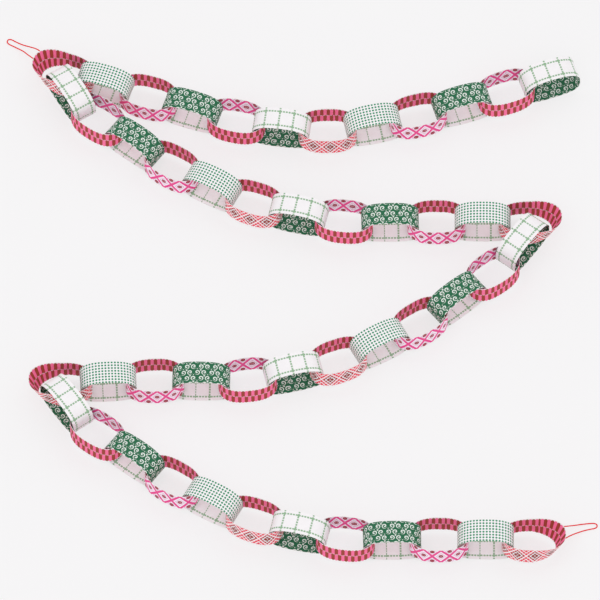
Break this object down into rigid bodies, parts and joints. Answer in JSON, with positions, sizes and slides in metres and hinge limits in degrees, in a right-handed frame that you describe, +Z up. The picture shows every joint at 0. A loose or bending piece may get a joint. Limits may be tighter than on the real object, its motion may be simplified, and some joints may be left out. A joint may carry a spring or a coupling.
{
  "type": "paper chain garland",
  "caption": "Paper chain garland of linked oval paper rings, patterned on both faces, laid in zig-zag rows, with a thin cord loop to hang it at two end rings.",
  "frame": {"origin": "middle of the rings' footprint, on the surface the garland lies on", "axes": "+X to the right along the rows, +Y away from the front of the layout, +Z up; the rings stand or lie on Z = 0"},
  "size_m": [0.74, 0.7555, 0.0475],
  "materials": {
    "paper_grid": "matt printed card",
    "paper_stripes": "matt printed card",
    "paper_curls": "matt printed card",
    "paper_diamonds": "matt printed card",
    "paper_dots": "matt printed card",
    "paper_lattice": "matt printed card",
    "cord": "smooth twisted thread"
  },
  "bodies": {
    "root": {"link_01_grid": "paper_grid", "link_02_stripes": "paper_stripes", "link_03_curls": "paper_curls", "link_04_diamonds": "paper_diamonds", "link_05_dots": "paper_dots", "link_06_lattice": "paper_lattice", "link_07_grid": "paper_grid", "link_08_stripes": "paper_stripes", "link_09_curls": "paper_curls", "link_10_diamonds": "paper_diamonds", "link_11_dots": "paper_dots", "link_12_lattice": "paper_lattice", "link_13_grid": "paper_grid", "link_14_stripes": "paper_stripes", "link_15_curls": "paper_curls", "link_16_diamonds": "paper_diamonds", "link_17_dots": "paper_dots", "link_18_lattice": "paper_lattice", "link_19_grid": "paper_grid", "link_20_stripes": "paper_stripes", "link_21_curls": "paper_curls", "link_22_diamonds": "paper_diamonds", "link_23_dots": "paper_dots", "link_24_lattice": "paper_lattice", "link_25_grid": "paper_grid", "link_26_stripes": "paper_stripes", "link_27_curls": "paper_curls", "link_28_diamonds": "paper_diamonds", "link_29_dots": "paper_dots", "link_30_lattice": "paper_lattice", "link_31_grid": "paper_grid", "link_32_stripes": "paper_stripes", "link_33_curls": "paper_curls", "link_34_diamonds": "paper_diamonds", "link_35_dots": "paper_dots", "link_36_lattice": "paper_lattice", "link_37_grid": "paper_grid", "link_38_stripes": "paper_stripes", "link_39_curls": "paper_curls", "link_40_diamonds": "paper_diamonds", "link_41_dots": "paper_dots", "link_42_lattice": "paper_lattice", "link_43_grid": "paper_grid", "link_44_stripes": "paper_stripes", "link_45_curls": "paper_curls", "link_46_diamonds": "paper_diamonds", "link_47_dots": "paper_dots", "link_48_lattice": "paper_lattice", "hanging_cord_left": "cord", "hanging_cord_right": "cord"}
  },
  "joints": []
}
